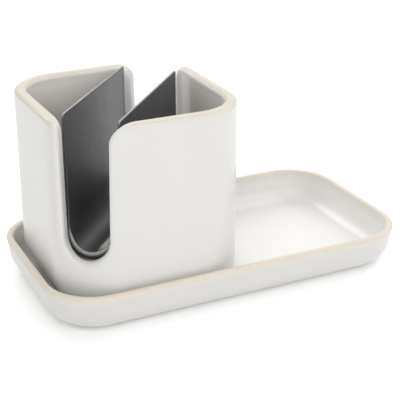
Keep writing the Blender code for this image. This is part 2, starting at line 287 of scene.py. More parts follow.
# %% [markdown]
# ## The holder's columns
# The holder is one cast piece: a square box whose wall dips into a U slot at two corners. It
# could be cut with Booleans, but a cut leaves hard edges, and a glazed slot has round lips.
# So the whole box is one closed grid. Each column starts under the foot, climbs the outside,
# crosses the wall and goes down inside. At a slot the columns fan out below the U and end on
# its edge, so the edge is a smooth line of the grid.
# First come the columns' places along the edge: half of the U, its mirror image, and the rims
# between. One side of each slot turns into the rim more tightly than the other, and the round
# foot gets tighter toward the open half of the tray, as the photograph shows.

# %% The edge of a slot
U_COLUMNS, JAMB_COLUMNS, TURN_COLUMNS, RIM_COLUMNS = 22, 26, 12, 76


def half_slot_edge(turn_radius):
    """Half of a slot's edge, from the middle of its bottom to the rim.

    An arc, a straight side that leans out a little and a quarter turn into the rim. For each
    point: distance across the slot, height, and the direction into the clay.
    """
    turn_start = HOLDER_HEIGHT - turn_radius
    centre = SLOT_BOTTOM + SLOT_RADIUS
    lean = math.atan2(SLOT_TOP_HALF_WIDTH - SLOT_RADIUS, turn_start - centre)
    a = np.linspace(0, math.pi / 2 - lean, U_COLUMNS + 1)
    f = np.linspace(0, 1, JAMB_COLUMNS + 1)[1:]
    b = np.linspace(0, math.pi / 2, TURN_COLUMNS + 1)[1:]
    low_across, low_up = SLOT_RADIUS * np.sin(a[-1]), centre - SLOT_RADIUS * np.cos(a[-1])
    across = [SLOT_RADIUS * np.sin(a), low_across + (SLOT_TOP_HALF_WIDTH - low_across) * f,
              SLOT_TOP_HALF_WIDTH + turn_radius * (1 - np.cos(b))]
    up = [centre - SLOT_RADIUS * np.cos(a), low_up + (turn_start - low_up) * f,
          turn_start + turn_radius * np.sin(b)]
    way_across = [np.sin(a), np.full(len(f), math.cos(lean)), np.cos(b)]
    way_up = [-np.cos(a), np.full(len(f), -math.sin(lean)), -np.sin(b)]
    return [np.concatenate(part) for part in (across, up, way_across, way_up)]


def whole_slot(half, sign, first=None):
    """Mirror a half slot's values; sign is -1 for values that change side.

    The first half has its own values where the slot's two sides differ.
    """
    first = half if first is None else first
    return np.concatenate([sign * first[:0:-1], half])


def around(near, rim_near, far, rim_far):
    """The values of all columns in order, starting at the middle of the near slot."""
    ring = np.concatenate([near, rim_near, far, rim_far])
    return np.roll(ring, -(len(near) // 2), axis=0)


tight_side, wide_side = half_slot_edge(SLOT_TIGHT_TURN), half_slot_edge(SLOT_WIDE_TURN)
slot_across = whole_slot(wide_side[0], -1, tight_side[0])
slot_up = whole_slot(wide_side[1], 1, tight_side[1])
slot_way_across = whole_slot(wide_side[2], -1, tight_side[2])
slot_way_up = whole_slot(wide_side[3], 1, tight_side[3])
rim_ones = np.ones(RIM_COLUMNS)
edge_up = around(slot_up, rim_ones * HOLDER_HEIGHT, slot_up, rim_ones * HOLDER_HEIGHT)
edge_way_up = around(slot_way_up, -rim_ones, slot_way_up, -rim_ones)
COLUMNS = len(edge_up)
print("holder has", COLUMNS, "columns")

# %% Places along the holder's wall
HOLDER_LOOP = outline_length(HOLDER_SIDE, HOLDER_SIDE, HOLDER_CORNER)
LINE_COS, LINE_SIN = math.cos(LINE_ANGLE), math.sin(LINE_ANGLE)


def holder_plan(s, inset):
    """Outline of the holder at s, moved inward by inset."""
    return outline(s, inset, HOLDER_SIDE, HOLDER_SIDE, HOLDER_CORNER)


def along_across(plan):
    """Distances along and across the line that runs from slot to slot."""
    x, y = plan[..., 0], plan[..., 1]
    return x * LINE_COS + y * LINE_SIN, y * LINE_COS - x * LINE_SIN - LINE_ASIDE


def from_line(along, across):
    """Plan point from the distances along and across the slot line."""
    side = across + LINE_ASIDE
    return np.stack([along * LINE_COS - side * LINE_SIN,
                     along * LINE_SIN + side * LINE_COS], axis=-1)


def crossing(end, inset, across):
    """s at which the wall lies that far across the slot line, at the near (-1) or far (1) slot.

    It is read backwards from a fine table of the wall, which starts before that corner's
    quarter turn and ends after it.
    """
    corner_start = HOLDER_LOOP / 2 if end < 0 else HOLDER_LOOP
    quarter_turns = np.linspace(-0.6, 1.6, 2001)
    s = corner_start + quarter_turns * (math.pi / 2 * HOLDER_CORNER)
    _, table = along_across(holder_plan(s, inset))
    return np.interp(across, end * table, s)


def join_rims(near, far):
    """The columns of both slots, joined by even steps along the rims between them."""
    rim_near = np.linspace(near[-1], far[0], RIM_COLUMNS + 2)[1:-1]
    rim_far = np.linspace(far[-1], near[0] + HOLDER_LOOP, RIM_COLUMNS + 2)[1:-1]
    return around(near, rim_near, far, rim_far)


def edge_places(widening, inset):
    """s of every column on the slots' and rims' edge, the slots widened by some lip."""
    across = slot_across + widening * slot_way_across
    near = crossing(-1, inset, across + SLOT_ASIDE)
    far = crossing(1, inset, across - SLOT_ASIDE)
    return join_rims(near, far)


def foot_places(inset, at_u, at_jamb, at_turn):
    """s of every column at the foot of the wall, where the slots' columns have fanned out.

    The fan grows in even steps to the given distances at the end of the U, jamb and turn.
    """
    joints = np.cumsum([0, U_COLUMNS, JAMB_COLUMNS, TURN_COLUMNS])
    half = np.interp(np.arange(joints[-1] + 1), joints, [0, at_u, at_jamb, at_turn])
    fan = whole_slot(half, -1)
    return join_rims(crossing(-1, inset, 0) + fan, crossing(1, inset, 0) + fan)


def smooth_step(share):
    """A share from 0 to 1 that starts and ends softly: share * share * (3 - 2 * share)."""
    return share * share * (3 - 2 * share)


OUTER_FAN = (0.019, 0.040, 0.046)
INNER_FAN = (0.025, 0.044, 0.050)
FOOT_BLEND_WIDTH = 0.6 * HOLDER_SIDE
outer_foot = foot_places(0, *OUTER_FAN)
inner_foot = foot_places(HOLDER_WALL, *INNER_FAN)
from_middle = holder_plan(outer_foot, 0)[:, 0]
to_the_right = smooth_step(np.clip(0.5 + from_middle / FOOT_BLEND_WIDTH, 0, 1))
foot_radius = HOLDER_FOOT_RADIUS + (HOLDER_TIGHT_FOOT - HOLDER_FOOT_RADIUS) * to_the_right
print("one column at the foot is", round(1000 * HOLDER_LOOP / COLUMNS, 2), "mm wide on average")

# %% [markdown]
# ## The saddle's outline
# Inside the holder a low block runs from slot to slot, with a round groove that the channel
# lies in, and a hollow under it so that its clay fires evenly. It is cast with the box, so the
# same columns go on across the floor and up its sides. Its ends follow the corners of the box,
# and its sides are straight. A few rounds of averaging soften its four upright corners.

# %% Outlines of the saddle and its hollow
SADDLE_END_GAP = 0.0042
HOLLOW_SIDE_WALL = 0.0078
HOLLOW_END_WALL = 0.0096
AVERAGING_ROUNDS = 10


def ridge_plan(half_width, inset):
    """Ends that follow the holder's wall at that inset, joined by two straight sides."""
    across = half_width * np.linspace(-1, 1, len(slot_across))
    near = holder_plan(crossing(-1, inset, across), inset)
    far = holder_plan(crossing(1, inset, across), inset)
    f = np.linspace(0, 1, RIM_COLUMNS + 2)[1:-1, None]
    side_near = near[-1] + (far[0] - near[-1]) * f
    side_far = far[-1] + (near[0] - far[-1]) * f
    plan = around(near, side_near, far, side_far)
    for _ in range(AVERAGING_ROUNDS):
        plan = (np.roll(plan, 1, axis=0) + 2 * plan + np.roll(plan, -1, axis=0)) / 4
    return plan


def outward(plan):
    """Direction away from a closed outline: its tangent turned by a quarter turn."""
    tangent = np.roll(plan, -1, axis=0) - np.roll(plan, 1, axis=0)
    normal = np.stack([tangent[:, 1], -tangent[:, 0]], axis=-1)
    return normal / np.linalg.norm(normal, axis=-1, keepdims=True)


hollow_half_width = SADDLE_HALF_WIDTH - HOLLOW_SIDE_WALL
saddle_plan = ridge_plan(SADDLE_HALF_WIDTH, HOLDER_WALL + SADDLE_END_GAP)
hollow_plan = ridge_plan(hollow_half_width, HOLDER_WALL + SADDLE_END_GAP + HOLLOW_END_WALL)
print("saddle is", round(1000 * np.ptp(along_across(saddle_plan)[0]), 1), "mm long")

# %% Heights inside the holder
GROOVE_CENTRE = CHANNEL_REST + CHANNEL_RADIUS
SHOULDER_DROP = 0.0050
SHOULDER_BLEND = 0.0010
SHOULDER = GROOVE_CENTRE - SHOULDER_DROP
ROOF_THICKNESS = 0.0078
ROOF_RADIUS = 0.0080
HOLLOW_ROOF = CHANNEL_REST - CHANNEL_SHEET - ROOF_THICKNESS


def saddle_height(across):
    """The lower of the flat shoulder and the round groove, blended over one millimetre."""
    depth = np.sqrt(np.maximum(SADDLE_GROOVE ** 2 - across ** 2, 1e-12))
    groove = GROOVE_CENTRE - depth
    nearness = np.maximum(1 - np.abs(groove - SHOULDER) / SHOULDER_BLEND, 0)
    return np.minimum(groove, SHOULDER) - SHOULDER_BLEND / 4 * nearness ** 2


def roof_height(across):
    """Flat in the middle, with a quarter circle down to each side wall."""
    past = np.clip(np.abs(across) - (hollow_half_width - ROOF_RADIUS), 0, ROOF_RADIUS)
    return HOLLOW_ROOF - ROOF_RADIUS + np.sqrt(ROOF_RADIUS ** 2 - past ** 2)


def floor_height(plan):
    """The floor, with a round fillet where it nears the wall."""
    half = HOLDER_SIDE / 2 - HOLDER_WALL
    corner = HOLDER_CORNER - HOLDER_WALL
    past = np.abs(plan) - (half - corner)
    inward = corner - np.hypot(np.maximum(past[..., 0], 0), np.maximum(past[..., 1], 0))
    inward = inward - np.minimum(past.max(axis=-1), 0)
    left = np.clip(HOLDER_INNER_RADIUS - inward, 0, HOLDER_INNER_RADIUS)
    return HOLDER_FLOOR + HOLDER_INNER_RADIUS - np.sqrt(HOLDER_INNER_RADIUS ** 2 - left ** 2)


print("saddle's shoulders stand", round(1000 * SHOULDER, 1), "mm above the foot")

# %% [markdown]
# ## The holder's rows
# Now each row is one closed ring of points, from the roof of the hollow, down its walls, along
# the foot, up the outside, over the lip, down the inside, over the fillet and floor, and up
# the saddle to the line along its middle. The lips are quarter circles. Their radius is larger
# in the slots than on the rim, and it changes over the quarter turn between them.

# %% Rows below and outside


def shrink_to_line(plan, height, steps):
    """Rings that shrink from a ridge's outline to the line along its middle.

    The distance across is scaled by each step, and the distance along hardly changes, so the
    rings follow the ridge's sides. Columns that face each other meet on the line.
    """
    along, across = along_across(plan)
    pair = np.roll(along[::-1], 1)
    rings = []
    for step in steps:
        mean = (along + pair) / 2
        new_along = (mean + (along - mean) * step) * (0.9 + 0.1 * step)
        rings.append(at_height(from_line(new_along, across * step), height(across * step)))
    return rings


def underside_rows():
    """Roof and walls of the hollow, its round mouth, and the flat foot."""
    rows = shrink_to_line(hollow_plan, roof_height, np.linspace(0, 1, 13))
    top = roof_height(along_across(hollow_plan)[1])
    away = outward(hollow_plan)
    mouth = 0.0010
    for f in np.linspace(0, 1, 7)[1:-1]:
        rows.append(at_height(hollow_plan, top + (mouth - top) * f))
    for a in quarter(0, 90, 3):
        plan = hollow_plan + away * mouth * (1 - math.cos(a))
        rows.append(at_height(plan, mouth * (1 - math.sin(a))))
    foot = holder_plan(outer_foot, foot_radius)
    start = hollow_plan + away * mouth
    for f in np.linspace(0, 1, 6)[1:-1]:
        rows.append(at_height(start + (foot - start) * f, 0.0))
    return rows


slot_turn = np.concatenate([np.full(len(slot_up) // 2, SLOT_TIGHT_TURN),
                            np.full(len(slot_up) // 2 + 1, SLOT_WIDE_TURN)])
turn_share = around(*[np.clip(1 + (slot_up - HOLDER_HEIGHT) / slot_turn, 0, 1), rim_ones] * 2)
outer_lip = SLOT_OUTER_LIP + (HOLDER_RIM_RADIUS - SLOT_OUTER_LIP) * turn_share
low_share = np.where(slot_up < SLOT_BOTTOM + SLOT_RADIUS, slot_way_up ** 2, 0)
low_share = around(low_share, 0 * rim_ones, low_share, 0 * rim_ones)
inner_lip = (SLOT_INNER_LIP + (SLOT_BOTTOM_INNER_LIP - SLOT_INNER_LIP) * low_share
             + (HOLDER_RIM_RADIUS - SLOT_INNER_LIP) * turn_share)


def for_slots(values):
    """Values of the columns of one slot, in the order of the slot's edge."""
    return np.roll(values, len(slot_across) // 2)[:len(slot_across)]


def outside_rows():
    """The foot's quarter circle, and the wall up to the edge of the lip."""
    rows = []
    for a in quarter(0, 90, 14):
        inset, z = foot_radius * (1 - math.sin(a)), foot_radius * (1 - math.cos(a))
        rows.append(at_height(holder_plan(outer_foot, inset), z))
    edge = edge_places(for_slots(outer_lip), 0)
    top = edge_up + outer_lip * edge_way_up
    for f in np.linspace(0, 1, 27)[1:-1]:
        s = outer_foot + (edge - outer_foot) * f
        rows.append(at_height(holder_plan(s, 0), foot_radius + (top - foot_radius) * f))
    return rows


# %% Rows across the lip and inside
SADDLE_FLARE = 0.0030


def wall_pair(widening):
    """Plan points of every column on the outer and on the inner face."""
    slots = for_slots(widening)
    return (holder_plan(edge_places(slots, 0), 0),
            holder_plan(edge_places(slots, HOLDER_WALL), HOLDER_WALL))


def lip_rows():
    """Across the wall: a quarter circle, a flat jamb or rim, and a quarter circle.

    A quarter circle's depth is radius * (1 - cos a), and there the slot is wider by
    radius * (1 - sin a).
    """
    sides = []
    for lip, angles, from_outside in ((outer_lip, quarter(0, 90, 8), True),
                                      (inner_lip, quarter(90, 0, 7), False)):
        rows = []
        for a in angles:
            widening = lip * (1 - math.sin(a))
            outer, inner = wall_pair(widening)
            start, end = (outer, inner) if from_outside else (inner, outer)
            way = (end - start) / np.linalg.norm(end - start, axis=-1, keepdims=True)
            plan = start + way * (lip * (1 - math.cos(a)))[:, None]
            rows.append(at_height(plan, edge_up + widening * edge_way_up))
        sides.append(rows)
    outside, inside = sides
    first, last = outside[-1], inside[0]
    middle = [first + (last - first) * f for f in np.linspace(0, 1, 7)[1:-1]]
    return outside + middle + inside


def inside_rows():
    """The inner wall, then the fillet and the floor, as far as the saddle's foot."""
    rows = []
    edge = edge_places(for_slots(inner_lip), HOLDER_WALL)
    top = edge_up + inner_lip * edge_way_up
    low = HOLDER_FLOOR + HOLDER_INNER_RADIUS
    for f in np.linspace(0, 1, 23)[1:]:
        s = edge + (inner_foot - edge) * f
        rows.append(at_height(holder_plan(s, HOLDER_WALL), top + (low - top) * f))
    wall = holder_plan(inner_foot, HOLDER_WALL)
    away = outward(saddle_plan)
    gap = np.linalg.norm(wall - saddle_plan, axis=-1)
    flare = np.minimum(SADDLE_FLARE, 0.45 * gap)
    target = saddle_plan + away * flare[:, None]
    span = np.linalg.norm(target - wall, axis=-1)
    round_part = np.minimum(HOLDER_INNER_RADIUS, 0.9 * span) / span
    shares = [round_part * (1 - math.cos(a)) for a in quarter(0, 90, 10)[1:]]
    shares += [round_part + (1 - round_part) * f for f in np.linspace(0, 1, 9)[1:]]
    for share in shares:
        plan = wall + (target - wall) * share[:, None]
        rows.append(at_height(plan, floor_height(plan)))
    return rows, flare, floor_height(target)


def saddle_rows(flare, base):
    """A hollow quarter circle at its foot, upright sides, a round edge and the top."""
    rows = []
    away = outward(saddle_plan)
    for a in quarter(0, 90, 5)[1:]:
        plan = saddle_plan + away * (flare * (1 - math.sin(a)))[:, None]
        rows.append(at_height(plan, base + flare * (1 - math.cos(a))))
    start = base + flare
    top = saddle_height(along_across(saddle_plan)[1]) - SADDLE_EDGE
    for f in np.linspace(0, 1, 10)[1:]:
        rows.append(at_height(saddle_plan, start + (top - start) * f))
    for a in quarter(0, 90, 7)[1:]:
        plan = saddle_plan - away * SADDLE_EDGE * (1 - math.cos(a))
        z = saddle_height(along_across(plan)[1]) - SADDLE_EDGE * (1 - math.sin(a))
        rows.append(at_height(plan, z))
    edge = saddle_plan - away * SADDLE_EDGE
    steps = np.concatenate([np.linspace(1, 0.82, 10)[1:], np.linspace(0.82, 0, 15)[1:]])
    return rows + shrink_to_line(edge, saddle_height, steps)


# %% The holder's surface
HOLDER_WAVE = 0.00010
GLAZE_OVER_SLOTS = 0.022
# Painted light and shade inside the holder, by depth past the lip: lighter just inside, darker
# deep down, and back to the lighter inside white further on.
DEPTH_INSIDE = (0, PAINTED_LIGHT_INSIDE_FROM, 0.055, 0.090, 0.115)
PAINTED_TONE_AT_DEPTH = (0, 1, 2, 2, 1)


def make_holder_surface():
    """All rows in one closed grid, moved to the holder's place in the tray."""
    under, outside, lip = underside_rows(), outside_rows(), lip_rows()
    inside, flare, base = inside_rows()
    saddle = saddle_rows(flare, base)
    points = np.array(under + outside + lip + inside + saddle)
    steps = np.linalg.norm(np.diff(points, axis=0), axis=-1)
    path = np.concatenate([np.zeros((1, COLUMNS)), np.cumsum(steps, axis=0)])
    middle = path[len(under) + len(outside) + len(lip) // 2]
    from_rim = np.abs(path - middle) + GLAZE_OVER_SLOTS * (1 - turn_share)
    # Painted light just inside and painted shade deep inside, held in the inside attribute.
    glaze = np.interp(path - middle, DEPTH_INSIDE, PAINTED_TONE_AT_DEPTH)
    points = soft_wave(points, HOLDER_WAVE) + (HOLDER_X, 0, HOLDER_BASE)
    layers = {"from_rim": from_rim, "inside": glaze}
    return surface("holder_body", points, grid_faces(len(points), COLUMNS, True), layers)


holder = make_holder_surface()

# %% [markdown]
# ## The sponge channel
# The channel is one strip of thin sheet bent into a U, with round top corners, and its ends
# are cut so that they follow the holder's corners. A Solidify modifier could thicken a strip,
# but a cut edge of sheet is slightly round, so the edge is worked out here too: half a flat
# ellipse is carried round the strip's border and joins its two faces.
# At both ends the floor of the U is folded back under itself, so there the outer face stands
# out by a hem. The hem is narrow, so that it ends before the saddle. The far ends of the sides
# are spread until they are upright, and then every point is held a small gap off the holder's
# wall. Without these two limits the sheet would cut into the ceramic.
# The two drain openings in the floor are cut last, with a Boolean that is applied at once.

# %% The middle of the sheet
CHANNEL_END_GAP = 0.0021
EDGE_ROUND = 0.4


def channel_middle():
    """Points, face directions and half lengths of the sheet's middle layer.

    Its section is an arc and a side that leans out, mirrored. The half length shrinks away
    from the middle by an arc, and in the top corners by a smaller arc.
    """
    radius = CHANNEL_RADIUS + CHANNEL_SHEET / 2
    centre = GROOVE_CENTRE
    start = CHANNEL_TOP - CHANNEL_TOP_CORNER
    lean = math.atan2(CHANNEL_TOP_HALF_WIDTH - CHANNEL_RADIUS, start - centre)
    a = np.linspace(0, math.pi / 2 - lean, 29)
    f = np.concatenate([np.linspace(0, 1, 37)[1:],
                        1 + CHANNEL_TOP_CORNER / (start - centre) * np.sin(quarter(0, 90, 7)[1:])])
    low_across, low_up = radius * np.sin(a[-1]), centre - radius * np.cos(a[-1])
    rise = start - low_up
    across = np.concatenate([radius * np.sin(a), low_across + f * rise * math.tan(lean)])
    up = np.concatenate([centre - radius * np.cos(a), low_up + f * rise])
    up = np.minimum(up, CHANNEL_TOP)
    way = np.concatenate([np.stack([np.sin(a), -np.cos(a)], axis=-1),
                          np.tile([math.cos(lean), -math.sin(lean)], (len(f), 1))])
    edge = EDGE_ROUND * CHANNEL_SHEET / 2
    tip = along_across(holder_plan(crossing(1, HOLDER_WALL, 0.0), HOLDER_WALL))[0]
    arc = np.sqrt(CHANNEL_END_RADIUS ** 2 - across ** 2)
    reach = tip - CHANNEL_END_GAP - CHANNEL_END_RADIUS + arc
    reach -= edge
    past = np.clip(up - start, 0, CHANNEL_TOP_CORNER)
    reach -= CHANNEL_TOP_CORNER - np.sqrt(CHANNEL_TOP_CORNER ** 2 - past ** 2)
    up = np.where(past > 0, up - edge * past / CHANNEL_TOP_CORNER, up)
    return [whole_slot(across, -1), whole_slot(up, 1),
            np.concatenate([way[:0:-1] * (-1, 1), way]), whole_slot(reach, 1)]


middle_across, middle_up, middle_way, middle_reach = channel_middle()
print("channel is", round(2000 * middle_reach.max(), 1), "mm long")

# %% Spread ends and the gap to the wall
UPRIGHT_RISE = 0.0320
NEAR_SHIFT = 0.0005
NEAR_TAIL = 0.0025
FAR_TAIL = 0.0006
WALL_GAP = 0.0004


def spread_ends():
    """Distances across and half lengths at the near and at the far end of the sheet.

    Toward the near end the sides stand a little to the right, and the right one is longer.
    Toward the far end they are spread until they are upright. All of it grows with the height
    above the round floor, by a smooth step.
    """
    rise = smooth_step(np.clip((middle_up - GROOVE_CENTRE) / UPRIGHT_RISE, 0, 1))
    from_line_middle = np.abs(middle_across)
    spread = (from_line_middle.max() - from_line_middle) * rise
    wide = middle_across + np.sign(middle_across) * spread
    longer = np.sqrt(CHANNEL_END_RADIUS ** 2 - wide ** 2) - np.sqrt(
        CHANNEL_END_RADIUS ** 2 - middle_across ** 2)
    right = np.clip(-middle_across / CHANNEL_RADIUS, 0, 1) ** 2 * rise
    near, far = middle_across - NEAR_SHIFT * rise, wide - 0.5 * NEAR_SHIFT * right
    return near, far, middle_reach + NEAR_TAIL * right, middle_reach + longer + FAR_TAIL * rise


def past_core(points):
    """How far each point lies past the square inside the centres of the holder's corners."""
    core = HOLDER_SIDE / 2 - HOLDER_CORNER
    return np.maximum(np.abs(points[:, :2]) - core, 0)


def clear_of_wall(points):
    """Points nearer to the holder's inner wall than the gap are moved back to the gap.

    A point's way past that square is cut to one arm: the corner's radius less the wall and
    the gap.
    """
    arm = HOLDER_CORNER - HOLDER_WALL - WALL_GAP
    past = past_core(points)
    reach = np.linalg.norm(past, axis=1, keepdims=True)
    moved = points.copy()
    shorter = past * (1 - arm / np.maximum(reach, arm))
    moved[:, :2] -= np.sign(points[:, :2]) * shorter
    return moved


far_spread = np.abs(spread_ends()[1] - middle_across).max()
print("far ends are spread by up to", round(1000 * far_spread, 1), "mm")

# %% Faces of the sheet
HEM = 0.0032
HEM_WIDTH = 0.0007
HEM_STEP = 0.0005
HEM_FADE = 0.0080
FINE_FROM = 0.93


def sheet_faces():
    """Inner and outer face: the middle layer moved half a sheet along its face direction.

    The columns stand closer in the last part of the length. At its very end the outer face
    stands out further by the hem, which fades away just above the round floor.
    """
    fine = np.linspace(FINE_FROM, 1, 13)
    share = np.concatenate([-fine[::-1], np.linspace(-FINE_FROM, FINE_FROM, 75)[1:-1], fine])
    near_across, far_across, near_reach, far_reach = [v[:, None] for v in spread_ends()]
    reach = np.where(share < 0, near_reach, far_reach)
    along = reach * share
    across = near_across + (far_across - near_across) * (1 + share) / 2
    middle = at_height(from_line(along, across), middle_up[:, None])
    flat_way = from_line(np.zeros(len(middle_way)), middle_way[:, 0]) - from_line(0.0, 0.0)
    way = np.broadcast_to(at_height(flat_way, middle_way[:, 1])[:, None], middle.shape)
    low = np.clip((GROOVE_CENTRE + HEM_FADE - middle_up[:, None]) / HEM_FADE, 0, 1)
    rise = low * np.clip((HEM_WIDTH - reach + np.abs(along)) / HEM_STEP, 0, 1)
    hem = HEM * smooth_step(rise)
    inner = middle - way * CHANNEL_SHEET / 2
    outer = middle + way * (CHANNEL_SHEET / 2 + hem[..., None])
    return inner, outer


inner_face, outer_face = sheet_faces()
print("each face has", inner_face.shape[0], "rows and", inner_face.shape[1], "columns")

# %% The sheet's round edge


def border(grid):
    """The points round a grid's border, in order."""
    return np.concatenate([grid[0, :-1], grid[:-1, -1], grid[-1, :0:-1], grid[:0:-1, 0]])


def round_edge(inner_loop, outer_loop, angles):
    """Half a flat ellipse between two borders, carried round them.

    From the middle between the borders it goes half a thickness times sin a across the
    sheet, and a bulge times cos a sideways.
    """
    centre, half = (inner_loop + outer_loop) / 2, (outer_loop - inner_loop) / 2
    tangent = np.roll(centre, -1, axis=0) - np.roll(centre, 1, axis=0)
    sideways = np.cross(tangent, half)
    sideways /= np.linalg.norm(sideways, axis=-1, keepdims=True)
    if ((centre - centre.mean(axis=0)) * sideways).sum() < 0:
        sideways = -sideways
    bulge = EDGE_ROUND * np.linalg.norm(half, axis=-1, keepdims=True)
    return np.array([centre + half * math.sin(a) + sideways * bulge * math.cos(a) for a in angles])


def wear_and_highlight_share(angles, up):
    """How far the coat is painted lighter, from 0 to 1, round the edge and along it: partly wear,
    partly a painted highlight.

    At the top it is the middle of the edge. At the ends of the floor it is the inner side.
    Each fades out over a few millimetres of height and over part of the half ellipse.
    """
    top = np.clip((up - CHANNEL_TOP + 0.0025) / 0.0020, 0, 1)
    foot = np.clip((GROOVE_CENTRE - 0.0020 - up) / 0.0060, 0, 1)
    middle_of_edge = np.clip(1.5 * np.cos(angles), 0, 1)
    inner_side = np.clip((0.05 - angles) / 0.5, 0, 1) * np.clip((angles + 1.55) / 0.2, 0, 1)
    return np.maximum(middle_of_edge[:, None] * top, inner_side[:, None] * foot)


edge_angles = quarter(-90, 90, 8)
edge_face = round_edge(border(inner_face), border(outer_face), edge_angles)
print("the edge has", edge_face.shape[1], "columns")

# %% The sheet's surface


def face_outward(item):
    """Normals made to agree, and turned round if the volume then comes out negative."""
    shape = bmesh.new()
    shape.from_mesh(item.data)
    bmesh.ops.recalc_face_normals(shape, faces=shape.faces)
    if shape.calc_volume(signed=True) < 0:
        bmesh.ops.reverse_faces(shape, faces=shape.faces)
    shape.to_mesh(item.data)
    shape.free()


def make_channel_surface():
    """Inner face, outer face and the round edge between them, as three grids in one mesh."""
    rows, columns = inner_face.shape[:2]
    layer = rows * columns
    grids = (inner_face, outer_face, edge_face)
    points = clear_of_wall(np.concatenate([grid.reshape(-1, 3) for grid in grids]))
    inner = grid_faces(rows, columns, False)
    edge = grid_faces(len(edge_face), edge_face.shape[1], True)
    faces = np.concatenate([inner, inner[:, ::-1] + layer, edge + 2 * layer])
    up = border(np.broadcast_to(middle_up[:, None], (rows, columns)))
    # Painted highlight and wear: how much lighter the coat is on the edge, point by point.
    wear_and_painted_highlight = np.concatenate([np.zeros(2 * layer), wear_and_highlight_share(edge_angles, up).ravel()])
    nearest = HOLDER_CORNER - HOLDER_WALL - np.linalg.norm(past_core(points), axis=1).max()
    print("channel comes within", round(1000 * nearest, 2), "mm of the holder's inner wall")
    points = points + (HOLDER_X, 0, HOLDER_BASE)
    item = surface("channel_sheet_metal", points, faces, {"wear_and_painted_highlight": wear_and_painted_highlight})
    face_outward(item)
    return item


channel = make_channel_surface()

# %% Drain openings
DRAIN_LENGTH, DRAIN_WIDTH, DRAIN_CORNER = 0.0420, 0.0078, 0.0015
DRAIN_SIDE = 0.0026
DRAIN_FROM_END = 0.0010
CUTTER_REACH = 0.010


def drain_block(name, end):
    """Upright block with round corners beside the middle line, at the near or far end."""
    size = (DRAIN_LENGTH, DRAIN_WIDTH, DRAIN_CORNER)
    side = DRAIN_SIDE + DRAIN_WIDTH / 2
    reach = np.interp(side, middle_across, middle_reach) - DRAIN_FROM_END
    s = np.linspace(0, outline_length(*size), 160, endpoint=False)
    plan = outline(s, 0, *size) + (reach - DRAIN_LENGTH / 2, side)
    plan = from_line(end * plan[:, 0], end * plan[:, 1])
    pole = plan.mean(axis=0) + 0 * plan
    low, high = CHANNEL_REST - CUTTER_REACH, CHANNEL_REST + CUTTER_REACH
    rings = [at_height(pole, low), at_height(plan, low),
             at_height(plan, high), at_height(pole, high)]
    points = np.array(rings) + (HOLDER_X, 0, HOLDER_BASE)
    return surface(name, points, grid_faces(len(rings), len(s), True))


def cut(item, tool):
    """Apply an exact Boolean difference and throw the tool away."""
    modifier = item.modifiers.new("opening", "BOOLEAN")
    modifier.operation, modifier.solver, modifier.object = "DIFFERENCE", "EXACT", tool
    ready = item.evaluated_get(bpy.context.evaluated_depsgraph_get())
    mesh = bpy.data.meshes.new_from_object(ready)
    item.modifiers.clear()
    item.data = mesh
    bpy.data.objects.remove(tool)


for opening_end in (-1, 1):
    cut(channel, drain_block("opening_tool", opening_end))
channel.data.set_sharp_from_angle(angle=math.radians(50))
print("channel has", len(channel.data.polygons), "faces after cutting")

# %% [markdown]
# ## Finishes
# The stoneware has a satin white glaze that stops just short of the rims, where the clay was
# wiped bare so that nothing sticks in the kiln. The glaze is made of slow clouds of tint, a
# fine orange-peel bump and a few pinholes. An attribute on the mesh holds each point's
# distance from the rim, and a noise added to it gives the glaze a hand-wiped edge. A second
# attribute rises from 0 outside to 1 just inside, where the white is painted lighter and warmer
# as painted light, and to 2 deep in the holder, where it is painted darker and browner as
# painted shade of the deep box.
# The glaze's roughness varies a little over each piece. A range that crossed about 0.27 left
# jagged patches in the denoised render, so each glaze's range keeps to one side of it.

# %% Helpers for materials


def new_material(name):
    """A material with its node tree, its shader and its object coordinates."""
    material = bpy.data.materials.new(name)
    material.use_nodes = True
    tree = material.node_tree
    place = tree.nodes.new("ShaderNodeTexCoord")
    return material, tree, tree.nodes["Principled BSDF"], place.outputs["Object"]


def noise(tree, place, scale, detail=3.0, roughness=0.5):
    """Fractal noise with features about 1 / scale metres wide."""
    node = tree.nodes.new("ShaderNodeTexNoise")
    node.inputs["Scale"].default_value = scale
    node.inputs["Detail"].default_value = detail
    node.inputs["Roughness"].default_value = roughness
    tree.links.new(place, node.inputs["Vector"])
    return node.outputs["Fac"]


def remap(tree, value, low, high, new_low, new_high, smooth=False):
    """Value moved from one range to another, clamped at its ends."""
    node = tree.nodes.new("ShaderNodeMapRange")
    if smooth:
        node.interpolation_type = "SMOOTHSTEP"
    ranges = {"From Min": low, "From Max": high, "To Min": new_low, "To Max": new_high}
    for name, number in ranges.items():
        node.inputs[name].default_value = number
    tree.links.new(value, node.inputs["Value"])
    return node.outputs["Result"]


def maths(tree, operation, first, second):
    """One step of arithmetic; either side is a socket or a number."""
    node = tree.nodes.new("ShaderNodeMath")
    node.operation = operation
    for socket, value in zip(node.inputs, (first, second)):
        if isinstance(value, (int, float)):
            socket.default_value = value
        else:
            tree.links.new(value, socket)
    return node.outputs[0]


def blend(tree, share, first, second):
    """Colour between two colours; each is a socket or three numbers."""
    node = tree.nodes.new("ShaderNodeMix")
    node.data_type = "RGBA"
    tree.links.new(share, node.inputs["Factor"])
    for name, value in (("A", first), ("B", second)):
        socket = next(s for s in node.inputs if s.name == name and s.type == "RGBA")
        if isinstance(value, tuple):
            socket.default_value = (*value, 1.0)
        else:
            tree.links.new(value, socket)
    return next(s for s in node.outputs if s.type == "RGBA")


def attribute(tree, name):
    """The number that the mesh holds for each point under that name."""
    node = tree.nodes.new("ShaderNodeAttribute")
    node.attribute_name = name
    return node.outputs["Fac"]


